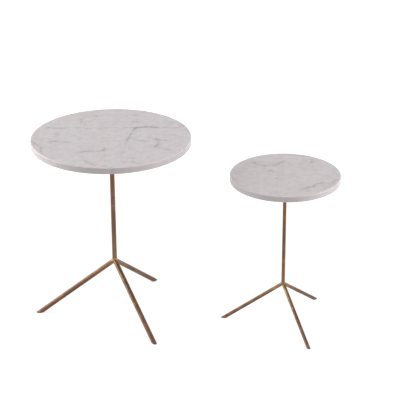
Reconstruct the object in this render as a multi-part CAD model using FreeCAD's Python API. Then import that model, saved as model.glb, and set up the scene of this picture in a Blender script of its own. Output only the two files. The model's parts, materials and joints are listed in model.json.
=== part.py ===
import FreeCAD, Part

# A pair of round nesting tables. Each is a marble slab screwed to a steel plate
# on a slim tube, which stands on a three-legged hub. The small table pushes
# under the large one.
#
# Millimetres, +Z up, floor at z = 0. The origin is on the floor, in the middle
# of the pair's length, and +X runs from the large table to the small one.

import math
import os
from dataclasses import dataclass

Vector = FreeCAD.Vector
UP = Vector(0, 0, 1)


@dataclass(frozen=True)
class ScrewSet:
    """Screw, spring washer and threaded insert of one thread size."""
    thread: float            # nominal diameter
    length: float            # under the head
    head_diameter: float
    head_height: float
    socket_width: float      # across the flats of the hexagon
    socket_depth: float
    washer_diameter: float
    washer_thickness: float
    insert_diameter: float
    insert_length: float


@dataclass(frozen=True)
class Table:
    """Sizes of one table. Angles are in degrees, turned left from +X."""
    name: str
    slab_diameter: float
    slab_thickness: float
    height: float            # floor to the slab's top face
    hub_height: float        # floor to the point where the tubes' axes meet
    foot_radius: float       # column axis to where a leg's axis meets the floor
    back_leg_angle: float
    tube_diameter: float
    tube_wall: float
    plate_diameter: float
    plate_thickness: float
    screw_circle: float      # diameter of the circle through the screws
    boss_diameter: float
    boss_height: float       # below the plate
    boss_spigot: float       # diameter of its end in the plate
    stud_thread: float
    screws: ScrewSet

    @property
    def tube_radius(self):
        return self.tube_diameter / 2

    @property
    def bore_radius(self):
        return self.tube_radius - self.tube_wall

    @property
    def hub_reach(self):
        """Length of a hub arm, from the hub's centre to the end of a tube."""
        return self.tube_radius + HUB_ARM_SPARE

    @property
    def slab_underside(self):
        return self.height - self.slab_thickness

    @property
    def plate_top(self):
        return self.slab_underside - PAD_THICKNESS

    @property
    def plate_underside(self):
        return self.plate_top - self.plate_thickness

    @property
    def column_top(self):
        return self.plate_underside - self.boss_height

    @property
    def leg_slope(self):
        """Angle between a leg and the floor, in radians."""
        return math.atan2(self.hub_height, self.foot_radius)


# Sizes that both tables share
NEST_STEP = 78.0             # large top down to small top
TABLE_SPACING = 436.0        # between the two columns
PAD_THICKNESS = 1.5
SLAB_TOP_ROUND = 2.0
SLAB_BOTTOM_ROUND = 1.0
PLATE_EDGE_BREAK = 0.8
BOSS_EDGE_BREAK = 1.2
HUB_ARM_SPARE = 4.0          # a hub arm's length beyond the tube's radius
HUB_SWELL = 0.4              # the hub's ball over the tube's radius
SPIGOT_LENGTH = 14.0         # hub arm inside a tube
GLIDE_HEIGHT = 4.0
GLIDE_STEM = 16.0            # glide inside a leg
STUD_IN_TUBE = 18.0
STUD_IN_BOSS = 11.0
BORE_RELIEF = 1.0            # blind hole past what it holds
SLIP_FIT = 0.1               # radial clearance of a piece pushed into a hole
THREAD_FIT = 0.05            # radial clearance of a thread drawn as a plain shank
SCREW_PLAY = 0.3             # radial clearance of a screw in plate and pad
SCREW_COUNT = 4
FIRST_SCREW_ANGLE = 45.0
LEG_NAMES = ("back", "left", "front")
LEG_STEP = 360.0 / len(LEG_NAMES)
INSERT_GROOVES = 3
INSERT_GROOVE_DEPTH = 0.4
WASHER_SPLIT = 0.8

LARGE = Table(
    name="large",
    slab_diameter=400.0,
    slab_thickness=16.0,
    height=490.0,
    hub_height=150.0,
    foot_radius=200.0,
    back_leg_angle=69.0,
    tube_diameter=12.0,
    tube_wall=1.5,
    plate_diameter=120.0,
    plate_thickness=4.0,
    screw_circle=92.0,
    boss_diameter=22.0,
    boss_height=15.0,
    boss_spigot=14.0,
    stud_thread=6.0,
    screws=ScrewSet(
        thread=6.0,
        length=16.0,
        head_diameter=10.5,
        head_height=3.3,
        socket_width=4.0,
        socket_depth=2.0,
        washer_diameter=10.0,
        washer_thickness=1.6,
        insert_diameter=9.0,
        insert_length=10.0,
    ),
)
SMALL = Table(
    name="small",
    slab_diameter=275.0,
    slab_thickness=15.0,
    height=LARGE.height - NEST_STEP,
    hub_height=110.0,
    foot_radius=153.0,
    back_leg_angle=60.0,
    tube_diameter=9.0,
    tube_wall=1.2,
    plate_diameter=90.0,
    plate_thickness=3.0,
    screw_circle=68.0,
    boss_diameter=18.0,
    boss_height=14.0,
    boss_spigot=11.0,
    stud_thread=5.0,
    screws=ScrewSet(
        thread=5.0,
        length=12.0,
        head_diameter=9.5,
        head_height=2.75,
        socket_width=3.0,
        socket_depth=1.6,
        washer_diameter=9.0,
        washer_thickness=1.2,
        insert_diameter=8.0,
        insert_length=8.0,
    ),
)


def direction(angle, slope=0.0):
    """Unit vector at a heading in degrees, falling by a slope in radians."""
    heading = math.radians(angle)
    level = math.cos(slope)
    return Vector(level * math.cos(heading), level * math.sin(heading), -math.sin(slope))


def at_height(z):
    return Vector(0, 0, z)


def leg_angles(table):
    return [table.back_leg_angle + k * LEG_STEP for k in range(len(LEG_NAMES))]


def screw_points(table, z):
    """Centres of the screws at one height."""
    step = 360.0 / SCREW_COUNT
    spots = [direction(FIRST_SCREW_ANGLE + k * step) for k in range(SCREW_COUNT)]
    return [spot * (table.screw_circle / 2) + at_height(z) for spot in spots]


def turned(profile, foot):
    """Solid of revolution of (radius, height) points about +Z, standing on foot."""
    corners = [Vector(radius, 0, height) for radius, height in profile]
    face = Part.Face(Part.makePolygon(corners + corners[:1]))
    solid = face.revolve(Vector(0, 0, 0), UP, 360)
    solid.translate(foot)
    return solid


def edges_at(solid, z):
    """Round edges of a solid that lie flat at one height."""
    flat = [e for e in solid.Edges if e.BoundBox.ZLength < 1e-3]
    return [e for e in flat if abs(e.BoundBox.ZMin - z) < 1e-3]


def outer_edge(solid, z):
    """Largest flat round edge of a solid at one height."""
    return max(edges_at(solid, z), key=lambda edge: edge.Length)


def with_holes(solid, points, radius, depth):
    """Solid with holes drilled upwards from the points."""
    return solid.cut([Part.makeCylinder(radius, depth, point, UP) for point in points])


def between_levels(solid, low, high):
    """Part of a solid between two heights."""
    box = solid.BoundBox
    corner = Vector(box.XMin - 1, box.YMin - 1, low)
    return solid.common(Part.makeBox(box.XLength + 2, box.YLength + 2, high - low, corner))


def slab(table):
    """Marble disc with eased edges and blind holes for the inserts."""
    radius = table.slab_diameter / 2
    disc = Part.makeCylinder(radius, table.slab_thickness, at_height(table.slab_underside))
    disc = disc.makeFillet(SLAB_TOP_ROUND, [outer_edge(disc, table.height)])
    disc = disc.makeFillet(SLAB_BOTTOM_ROUND, [outer_edge(disc, table.slab_underside)])
    hole_radius = table.screws.insert_diameter / 2 + SLIP_FIT
    mouths = screw_points(table, table.slab_underside)
    return with_holes(disc, mouths, hole_radius, table.screws.insert_length + BORE_RELIEF)


def insert(screws, mouth):
    """Grooved threaded sleeve set in the slab, its mouth level with the underside."""
    outer = screws.insert_diameter / 2
    inner = screws.thread / 2 + THREAD_FIT
    pitch = screws.insert_length / (2 * INSERT_GROOVES + 1)
    profile = [(inner, 0), (outer, 0)]
    for groove in range(INSERT_GROOVES):
        low = pitch * (2 * groove + 1)
        waist = outer - INSERT_GROOVE_DEPTH
        profile += [(outer, low), (waist, low), (waist, low + pitch), (outer, low + pitch)]
    profile += [(outer, screws.insert_length), (inner, screws.insert_length)]
    return turned(profile, mouth)


def screw(screws, seat):
    """Button-head screw pointing up, its head's flat face on the seat."""
    shank = Part.makeCylinder(screws.thread / 2, screws.length, seat, UP)
    radius = screws.head_diameter / 2
    crown = radius * 0.55
    rim = screws.head_height * 0.3
    head = turned([(0, 0), (radius, 0), (radius, -rim), (crown, -screws.head_height),
                   (0, -screws.head_height)], seat)
    bottom = seat - at_height(screws.head_height)
    corner_radius = screws.socket_width / 2 / math.cos(math.radians(30))
    corners = [bottom + direction(60 * k) * corner_radius for k in range(6)]
    socket = Part.Face(Part.makePolygon(corners + corners[:1]))
    return head.fuse(shank).removeSplitter().cut(socket.extrude(at_height(screws.socket_depth)))


def spring_washer(screws, seat):
    """Split ring under the plate, its top face on the seat."""
    base = seat - at_height(screws.washer_thickness)
    ring = Part.makeCylinder(screws.washer_diameter / 2, screws.washer_thickness, base, UP)
    hole = Part.makeCylinder(screws.thread / 2 + SLIP_FIT, screws.washer_thickness, base, UP)
    corner = base - Vector(0, WASHER_SPLIT / 2, 0)
    split = Part.makeBox(screws.washer_diameter, WASHER_SPLIT, screws.washer_thickness, corner)
    return ring.cut([hole, split])


def pad(table):
    """Soft disc between the plate and the slab."""
    disc = Part.makeCylinder(table.plate_diameter / 2, PAD_THICKNESS, at_height(table.plate_top))
    hole_radius = table.screws.thread / 2 + SCREW_PLAY
    return with_holes(disc, screw_points(table, table.plate_top), hole_radius, PAD_THICKNESS)


def plate(table):
    """Round steel plate with screw holes and a hole for the boss."""
    low = table.plate_underside
    disc = Part.makeCylinder(table.plate_diameter / 2, table.plate_thickness, at_height(low))
    disc = disc.makeChamfer(PLATE_EDGE_BREAK, [outer_edge(disc, low)])
    hole_radius = table.screws.thread / 2 + SCREW_PLAY
    disc = with_holes(disc, screw_points(table, low), hole_radius, table.plate_thickness)
    return with_holes(disc, [at_height(low)], table.boss_spigot / 2 + SLIP_FIT,
                      table.plate_thickness)


def boss(table):
    """Turned socket under the plate, threaded for the column's stud."""
    radius = table.boss_diameter / 2
    spigot = table.boss_spigot / 2
    thread = table.stud_thread / 2 + THREAD_FIT
    depth = STUD_IN_BOSS + BORE_RELIEF
    shoulder = table.boss_height
    top = shoulder + table.plate_thickness
    profile = [(thread, 0), (radius - BOSS_EDGE_BREAK, 0), (radius, BOSS_EDGE_BREAK),
               (radius, shoulder), (spigot, shoulder), (spigot, top), (0, top),
               (0, depth), (thread, depth)]
    return turned(profile, at_height(table.column_top))


def stud(table):
    """Plug in the column's end that carries the thread for the boss."""
    plug = table.bore_radius - SLIP_FIT
    thread = table.stud_thread / 2
    profile = [(0, -STUD_IN_TUBE), (plug, -STUD_IN_TUBE), (plug, 0), (thread, 0),
               (thread, STUD_IN_BOSS), (0, STUD_IN_BOSS)]
    return turned(profile, at_height(table.column_top))


def tube(table, start, along, length):
    """Round tube from a point in a direction."""
    outside = Part.makeCylinder(table.tube_radius, length, start, along)
    return outside.cut(Part.makeCylinder(table.bore_radius, length, start, along))


def column(table):
    """Upright tube from the hub to the boss."""
    foot = table.hub_height + table.hub_reach
    return tube(table, at_height(foot), UP, table.column_top - foot)


def hub(table):
    """Junction of the four tubes: an arm and a spigot for each, round a small ball."""
    centre = at_height(table.hub_height)
    pieces = [Part.makeSphere(table.tube_radius + HUB_SWELL, centre)]
    spigot_radius = table.bore_radius - SLIP_FIT
    spigot_end = table.hub_reach + SPIGOT_LENGTH
    for along in [UP] + [direction(angle, table.leg_slope) for angle in leg_angles(table)]:
        pieces.append(Part.makeCylinder(table.tube_radius, table.hub_reach, centre, along))
        pieces.append(Part.makeCylinder(spigot_radius, spigot_end, centre, along))
    return pieces[0].fuse(pieces[1:]).removeSplitter()


def leg_run(table):
    """Length of a leg's axis from the hub's centre to past the floor."""
    return math.hypot(table.hub_height, table.foot_radius) + table.tube_diameter * 2


def leg(table, angle):
    """Sloping tube, cut level with the floor where the glide begins."""
    along = direction(angle, table.leg_slope)
    start = at_height(table.hub_height) + along * table.hub_reach
    whole = tube(table, start, along, leg_run(table) - table.hub_reach)
    return between_levels(whole, GLIDE_HEIGHT, table.hub_height)


def glide(table, angle):
    """Plastic foot that ends the leg on the floor, with a stem in its bore."""
    along = direction(angle, table.leg_slope)
    centre = at_height(table.hub_height)
    run = leg_run(table)
    foot = Part.makeCylinder(table.tube_radius, run, centre, along)
    foot = between_levels(foot, 0, GLIDE_HEIGHT)
    stem_start = math.hypot(table.hub_height, table.foot_radius) - GLIDE_STEM
    stem = Part.makeCylinder(table.bore_radius - SLIP_FIT, run - stem_start,
                             centre + along * stem_start, along)
    return foot.fuse(between_levels(stem, 0, table.hub_height)).removeSplitter()


def group(solids):
    """Separate solids kept together in one shape."""
    return Part.makeCompound(solids)


def table_pieces(table):
    """Every piece of one table by name, with its column on the Z axis."""
    screws = table.screws
    washer_seats = screw_points(table, table.plate_underside)
    screw_seats = screw_points(table, table.plate_underside - screws.washer_thickness)
    mouths = screw_points(table, table.slab_underside)
    pieces = {
        "top_slab": slab(table),
        "slab_inserts": group([insert(screws, mouth) for mouth in mouths]),
        "plate_pad": pad(table),
        "mounting_plate": plate(table),
        "plate_screws": group([screw(screws, seat) for seat in screw_seats]),
        "spring_washers": group([spring_washer(screws, seat) for seat in washer_seats]),
        "plate_boss": boss(table),
        "column_stud": stud(table),
        "column_tube": column(table),
        "leg_hub": hub(table),
    }
    for side, angle in zip(LEG_NAMES, leg_angles(table)):
        pieces["leg_" + side] = leg(table, angle)
        pieces["glide_" + side] = glide(table, angle)
    return pieces


def reach(table, heading):
    """How far the slab or a foot goes from the column in a heading in degrees."""
    long_half = table.tube_radius / math.sin(table.leg_slope)
    furthest = table.slab_diameter / 2
    for angle in leg_angles(table):
        turn = math.radians(angle - heading)
        half = math.hypot(long_half * math.cos(turn), table.tube_radius * math.sin(turn))
        furthest = max(furthest, table.foot_radius * math.cos(turn) + half)
    return furthest


def column_places():
    """X of the large and the small column, with the pair's middle at the origin."""
    left = reach(LARGE, 180)
    right = reach(SMALL, 0)
    large_x = left - (left + TABLE_SPACING + right) / 2
    return {LARGE: large_x, SMALL: large_x + TABLE_SPACING}


def main():
    os.makedirs("parts", exist_ok=True)
    for table, x in column_places().items():
        for name, shape in table_pieces(table).items():
            shape.translate(Vector(x, 0, 0))
            shape.exportStep("parts/%s_%s.step" % (table.name, name))
        print(table.name, "column at x = %.3f" % x)


main()
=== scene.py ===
"""Looks of a pair of nesting tables: veined marble slabs on antique brass tripods.

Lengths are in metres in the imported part's own frame, with +Z up and the floor
at zero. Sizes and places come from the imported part; what is added here is the
finish of every surface and the detail of every piece.
"""
import json
import logging
import math
from abc import ABC, abstractmethod
from collections.abc import Callable, Sequence
from dataclasses import dataclass, field
from enum import Enum
from typing import ClassVar, Union

import bmesh
import bpy
import numpy as np
from mathutils import Matrix, Vector


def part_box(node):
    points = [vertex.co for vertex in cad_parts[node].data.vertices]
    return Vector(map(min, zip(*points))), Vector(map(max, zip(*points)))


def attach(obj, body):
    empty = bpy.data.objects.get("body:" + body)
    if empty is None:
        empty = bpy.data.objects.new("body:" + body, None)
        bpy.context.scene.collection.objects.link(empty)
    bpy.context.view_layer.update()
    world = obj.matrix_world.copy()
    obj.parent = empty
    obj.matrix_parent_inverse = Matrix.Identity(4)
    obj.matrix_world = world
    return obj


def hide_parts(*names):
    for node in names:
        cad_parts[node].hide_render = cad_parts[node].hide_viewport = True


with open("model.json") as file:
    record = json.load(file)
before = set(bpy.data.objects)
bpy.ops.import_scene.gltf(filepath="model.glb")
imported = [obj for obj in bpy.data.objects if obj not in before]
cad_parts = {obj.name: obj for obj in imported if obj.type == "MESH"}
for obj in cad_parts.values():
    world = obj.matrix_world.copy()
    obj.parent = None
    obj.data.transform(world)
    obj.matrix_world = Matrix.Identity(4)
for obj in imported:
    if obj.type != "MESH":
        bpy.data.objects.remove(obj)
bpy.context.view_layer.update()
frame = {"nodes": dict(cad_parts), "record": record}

LOG = logging.getLogger("nesting_tables")
MM = 0.001
FULL_TURN = 2 * math.pi

Colour = tuple[float, float, float]
Feed = Union[bpy.types.NodeSocket, float, Sequence[float]]


class Slot(Enum):
    """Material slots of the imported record."""
    MARBLE = "marble"
    ANTIQUE_BRASS = "antique_brass"
    INSERT_BRASS = "insert_brass"
    ZINC_STEEL = "zinc_steel"
    PAD_RUBBER = "pad_rubber"
    GLIDE_PLASTIC = "glide_plastic"


class LegSide(Enum):
    """The three legs of a stand."""
    BACK = "back"
    LEFT = "left"
    FRONT = "front"


# --------------------------------------------------------------------------
# Shader wiring


class Wiring:
    """Adds shader nodes to one node tree and links them."""

    def __init__(self, tree: bpy.types.NodeTree) -> None:
        """Work on one tree.

        Args:
            tree: The node tree that gets the nodes.
        """
        self.tree = tree

    def add(self, kind: str, **settings: object) -> bpy.types.Node:
        """Add a node.

        Args:
            kind: Blender's name of the node type.
            **settings: Values for the node's own properties.

        Returns:
            The new node.
        """
        node = self.tree.nodes.new(kind)
        for name, value in settings.items():
            setattr(node, name, value)
        return node

    def feed(self, socket: bpy.types.NodeSocket, value: Feed) -> None:
        """Link an output to a socket, or set the socket's own value.

        Args:
            socket: The input socket.
            value: An output socket, or a constant of the socket's type.
        """
        if isinstance(value, bpy.types.NodeSocket):
            self.tree.links.new(value, socket)
        else:
            socket.default_value = value

    def maths(self, operation: str, *values: Feed, clamp: bool = False) -> bpy.types.NodeSocket:
        """Combine numbers.

        Args:
            operation: Operation of the Math node.
            *values: Its operands.
            clamp: Whether the result is kept between 0 and 1.

        Returns:
            The result's socket.
        """
        node = self.add("ShaderNodeMath", operation=operation, use_clamp=clamp)
        for socket, value in zip(node.inputs, values):
            self.feed(socket, value)
        return node.outputs[0]

    def vector(self, operation: str, *values: Feed, scale: Feed = 1.0) -> bpy.types.NodeSocket:
        """Combine vectors.

        Args:
            operation: Operation of the Vector Math node.
            *values: Its vector operands.
            scale: The factor of a SCALE operation.

        Returns:
            The result's socket, a number for DOT_PRODUCT and LENGTH.
        """
        node = self.add("ShaderNodeVectorMath", operation=operation)
        for socket, value in zip(node.inputs, values):
            self.feed(socket, value)
        if operation == "SCALE":
            self.feed(node.inputs["Scale"], scale)
        number = operation in ("DOT_PRODUCT", "LENGTH")
        return node.outputs["Value"] if number else node.outputs["Vector"]

    def noise(self, position: Feed, scale: float, detail: float = 3.0,
              roughness: float = 0.5) -> bpy.types.Node:
        """Add a noise texture.

        Args:
            position: Where the noise is read.
            scale: Its repeats in a metre.
            detail: How many finer layers are added.
            roughness: How strong the finer layers are.

        Returns:
            The node, with outputs Factor (a number) and Color.
        """
        node = self.add("ShaderNodeTexNoise")
        self.feed(node.inputs["Vector"], position)
        node.inputs["Scale"].default_value = scale
        node.inputs["Detail"].default_value = detail
        node.inputs["Roughness"].default_value = roughness
        return node

    def ramp(self, value: Feed, low: Feed, high: Feed, start: Feed = 0.0,
             end: Feed = 1.0) -> bpy.types.NodeSocket:
        """Map a number smoothly from one range to another, clamped at both ends.

        Args:
            value: The number.
            low: Where the input range starts.
            high: Where the input range ends.
            start: The result at low.
            end: The result at high.

        Returns:
            The result's socket.
        """
        node = self.add("ShaderNodeMapRange", interpolation_type="SMOOTHSTEP")
        for name, given in (("Value", value), ("From Min", low), ("From Max", high),
                            ("To Min", start), ("To Max", end)):
            self.feed(node.inputs[name], given)
        return node.outputs["Result"]

    def blend(self, factor: Feed, first: Feed, second: Feed,
              mode: str = "MIX") -> bpy.types.NodeSocket:
        """Blend two colours.

        Args:
            factor: How much of the second.
            first: The first colour.
            second: The second colour.
            mode: How they are blended.

        Returns:
            The result's socket.
        """
        node = self.add("ShaderNodeMix", data_type="RGBA", blend_type=mode)
        self.feed(node.inputs[0], factor)
        self.feed(node.inputs[6], _rgba(first))
        self.feed(node.inputs[7], _rgba(second))
        return node.outputs[2]

    def effect(self, effect: type["Effect"], **inputs: Feed) -> bpy.types.Node:
        """Place a shared effect.

        Args:
            effect: The effect's class.
            **inputs: Values for its sockets, by name.

        Returns:
            The group node.
        """
        node = self.add("ShaderNodeGroup")
        node.node_tree = effect.tree()
        for name, value in inputs.items():
            self.feed(node.inputs[name], value)
        return node


def _rgba(value: Feed) -> Feed:
    """Add full alpha to a plain colour.

    Args:
        value: A socket or a colour of three numbers.

    Returns:
        The socket, or the colour with four numbers.
    """
    return value if isinstance(value, bpy.types.NodeSocket) else (*value, 1.0)


class Effect(ABC):
    """A shader node group with named sockets, built once and shared."""

    name: ClassVar[str]
    inputs: ClassVar[dict[str, Union[float, Colour]]]
    outputs: ClassVar[tuple[str, ...]]

    @classmethod
    def tree(cls) -> bpy.types.NodeTree:
        """Return the group's node tree, made on first use."""
        made = bpy.data.node_groups.get(cls.name)
        if made is not None:
            return made
        tree = bpy.data.node_groups.new(cls.name, "ShaderNodeTree")
        for name, default in cls.inputs.items():
            number = isinstance(default, float)
            kind = "NodeSocketFloat" if number else "NodeSocketVector"
            socket = tree.interface.new_socket(name, in_out="INPUT", socket_type=kind)
            socket.default_value = default
        for name in cls.outputs:
            tree.interface.new_socket(name, in_out="OUTPUT", socket_type="NodeSocketFloat")
        wiring = Wiring(tree)
        entry = wiring.add("NodeGroupInput").outputs
        leave = wiring.add("NodeGroupOutput").inputs
        for name, value in cls.wire(wiring, entry).items():
            wiring.feed(leave[name], value)
        return tree

    @classmethod
    @abstractmethod
    def wire(cls, wiring: Wiring, entry: bpy.types.NodeOutputs) -> dict[str, Feed]:
        """Build the inside of the group.

        Args:
            wiring: Adds nodes to the group's tree.
            entry: The group's inputs, by name.

        Returns:
            What feeds each output, by name.
        """


class VeinStrand(Effect):
    """One straight run of a vein, laid over the strands before it."""

    name = "vein_strand"
    inputs = {"Position": (0.0, 0.0, 0.0), "Start": (0.0, 0.0, 0.0), "Run": (1.0, 0.0, 0.0),
              "Width": 0.001, "Swell": 1.0, "Strength": 1.0, "Core": 0.0, "Halo": 0.0}
    outputs = ("Core", "Halo")

    @classmethod
    def wire(cls, wiring: Wiring, entry: bpy.types.NodeOutputs) -> dict[str, Feed]:
        """Build the inside of the group.

        Args:
            wiring: Adds nodes to the group's tree.
            entry: The group's inputs, by name.

        Returns:
            What feeds each output, by name.
        """
        away = wiring.vector("SUBTRACT", entry["Position"], entry["Start"])
        along = wiring.vector("DOT_PRODUCT", away, entry["Run"])
        length_squared = wiring.vector("DOT_PRODUCT", entry["Run"], entry["Run"])
        share = wiring.maths("MINIMUM", wiring.maths("DIVIDE", along, length_squared), 1.0)
        share = wiring.maths("MAXIMUM", share, 0.0)
        nearest = wiring.vector("SCALE", entry["Run"], scale=share)
        gap = wiring.vector("LENGTH", wiring.vector("SUBTRACT", away, nearest))
        width = wiring.maths("MULTIPLY", entry["Width"], entry["Swell"])
        results = {}
        for name, spread in (("Core", 1.0), ("Halo", 4.0)):
            reach = wiring.maths("MULTIPLY", width, spread)
            mask = wiring.ramp(gap, 0.0, reach, entry["Strength"], 0.0)
            results[name] = wiring.maths("MAXIMUM", entry[name], mask)
        return results


class StoneClouds(Effect):
    """Mottling of cut stone: broad clouds, small clouds, hair veins and fine grain."""

    name = "stone_clouds"
    inputs = {"Position": (0.0, 0.0, 0.0)}
    outputs = ("Broad", "Small", "Hair", "Grain")

    @classmethod
    def wire(cls, wiring: Wiring, entry: bpy.types.NodeOutputs) -> dict[str, Feed]:
        """Build the inside of the group.

        Args:
            wiring: Adds nodes to the group's tree.
            entry: The group's inputs, by name.

        Returns:
            What feeds each output, by name.
        """
        place = entry["Position"]
        broad = wiring.noise(place, 8.0, detail=3.0, roughness=0.5).outputs[0]
        small = wiring.noise(place, 55.0, detail=5.0, roughness=0.75).outputs[0]
        net = wiring.noise(place, 13.0, detail=5.0, roughness=0.58).outputs[0]
        off = wiring.maths("ABSOLUTE", wiring.maths("SUBTRACT", net, 0.5))
        hair = wiring.maths("MULTIPLY", wiring.ramp(off, 0.0, 0.014, 1.0, 0.0),
                            wiring.ramp(small, 0.42, 0.6))
        grain = wiring.noise(place, 900.0, detail=2.0, roughness=0.7).outputs[0]
        return {"Broad": wiring.ramp(broad, 0.3, 0.7), "Small": wiring.ramp(small, 0.34, 0.68),
                "Hair": hair, "Grain": grain}


class EdgeWearAndHighlight(Effect):
    """A mask along marked edges, broken up so that it isn't even: wear on the brass, a painted
    highlight on the marble's eased edges.
    """

    name = "edge_wear_and_highlight"
    inputs = {"Mark": 0.0, "Position": (0.0, 0.0, 0.0)}
    outputs = ("Mask",)

    @classmethod
    def wire(cls, wiring: Wiring, entry: bpy.types.NodeOutputs) -> dict[str, Feed]:
        """Build the inside of the group.

        Args:
            wiring: Adds nodes to the group's tree.
            entry: The group's inputs, by name.

        Returns:
            What feeds each output, by name.
        """
        broken = wiring.noise(entry["Position"], 260.0, detail=4.0, roughness=0.65).outputs[0]
        share = wiring.ramp(broken, 0.3, 0.6, 0.45, 1.0)
        return {"Mask": wiring.maths("MULTIPLY", entry["Mark"], share, clamp=True)}


class DrawnLines(Effect):
    """Fine lines along a drawn tube or round a turned face, as tone and height."""

    name = "drawn_lines"
    inputs = {"Lay": (0.0, 0.0, 0.0), "Stretch": (1.0, 1.0, 0.02)}
    outputs = ("Tone", "Height")

    @classmethod
    def wire(cls, wiring: Wiring, entry: bpy.types.NodeOutputs) -> dict[str, Feed]:
        """Build the inside of the group.

        Args:
            wiring: Adds nodes to the group's tree.
            entry: The group's inputs, by name.

        Returns:
            What feeds each output, by name.
        """
        place = wiring.vector("MULTIPLY", entry["Lay"], entry["Stretch"])
        coarse = wiring.noise(place, 700.0, detail=2.0)
        fine = wiring.noise(place, 2600.0, detail=3.0, roughness=0.65)
        height = wiring.maths("MULTIPLY_ADD", coarse.outputs[0], 0.6, fine.outputs[0])
        return {"Tone": wiring.ramp(fine.outputs[0], 0.3, 0.7), "Height": height}


class Tarnish(Effect):
    """Patches where plating has darkened, with small spots inside them."""

    name = "tarnish"
    inputs = {"Position": (0.0, 0.0, 0.0), "Amount": 0.5}
    outputs = ("Patch", "Spot")

    @classmethod
    def wire(cls, wiring: Wiring, entry: bpy.types.NodeOutputs) -> dict[str, Feed]:
        """Build the inside of the group.

        Args:
            wiring: Adds nodes to the group's tree.
            entry: The group's inputs, by name.

        Returns:
            What feeds each output, by name.
        """
        patch = wiring.noise(entry["Position"], 38.0, detail=5.0, roughness=0.62)
        edge = wiring.maths("SUBTRACT", 0.85, wiring.maths("MULTIPLY", entry["Amount"], 0.6))
        spot = wiring.noise(entry["Position"], 420.0, detail=3.0, roughness=0.6)
        return {"Patch": wiring.ramp(patch.outputs[0], wiring.maths("SUBTRACT", edge, 0.3), edge),
                "Spot": wiring.ramp(spot.outputs[0], 0.56, 0.72)}


class Speckle(Effect):
    """Fine texture of moulded plastic, foam or turned metal."""

    name = "speckle"
    inputs = {"Position": (0.0, 0.0, 0.0)}
    outputs = ("Tone", "Height")

    @classmethod
    def wire(cls, wiring: Wiring, entry: bpy.types.NodeOutputs) -> dict[str, Feed]:
        """Build the inside of the group.

        Args:
            wiring: Adds nodes to the group's tree.
            entry: The group's inputs, by name.

        Returns:
            What feeds each output, by name.
        """
        broad = wiring.noise(entry["Position"], 120.0, detail=3.0)
        fine = wiring.noise(entry["Position"], 3200.0, detail=2.0, roughness=0.6)
        return {"Tone": wiring.ramp(broad.outputs[0], 0.3, 0.7), "Height": fine.outputs[0]}


# --------------------------------------------------------------------------
# Finishes


@dataclass(frozen=True)
class Finish(ABC):
    """How a surface looks. Each finish makes one material."""

    name: str
    slot: Slot

    def material(self) -> bpy.types.Material:
        """Return the finish's material, made on first use."""
        title = "finish_" + self.name
        made = bpy.data.materials.get(title)
        if made is not None:
            return made
        made = bpy.data.materials.new(title)
        made.use_nodes = True
        wiring = Wiring(made.node_tree)
        surface = made.node_tree.nodes["Principled BSDF"]
        self.wire(wiring, surface)
        return made

    @abstractmethod
    def wire(self, wiring: Wiring, surface: bpy.types.Node) -> None:
        """Feed the surface shader.

        Args:
            wiring: Adds nodes to the material.
            surface: The material's Principled BSDF.
        """

    @staticmethod
    def relief(wiring: Wiring, surface: bpy.types.Node, height: Feed, depth: float) -> None:
        """Give the surface a fine relief.

        Args:
            wiring: Adds nodes to the material.
            surface: The material's Principled BSDF.
            height: Relief from 0 to 1.
            depth: Height of the relief in metres.
        """
        bump = wiring.add("ShaderNodeBump")
        bump.inputs["Strength"].default_value = 1.0
        bump.inputs["Distance"].default_value = depth
        wiring.feed(bump.inputs["Height"], height)
        wiring.feed(surface.inputs["Normal"], bump.outputs["Normal"])

    @staticmethod
    def attribute(wiring: Wiring, name: str, output: str = "Vector") -> bpy.types.NodeSocket:
        """Read a value stored on the mesh.

        Args:
            wiring: Adds nodes to the material.
            name: The attribute's name.
            output: Which of the node's outputs to use.

        Returns:
            The output's socket.
        """
        return wiring.add("ShaderNodeAttribute", attribute_name=name).outputs[output]


@dataclass(frozen=True)
class Vein:
    """A vein in the stone, as points in millimetres on the slab."""

    points: tuple[tuple[float, float], ...]
    width: float
    strength: float


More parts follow.
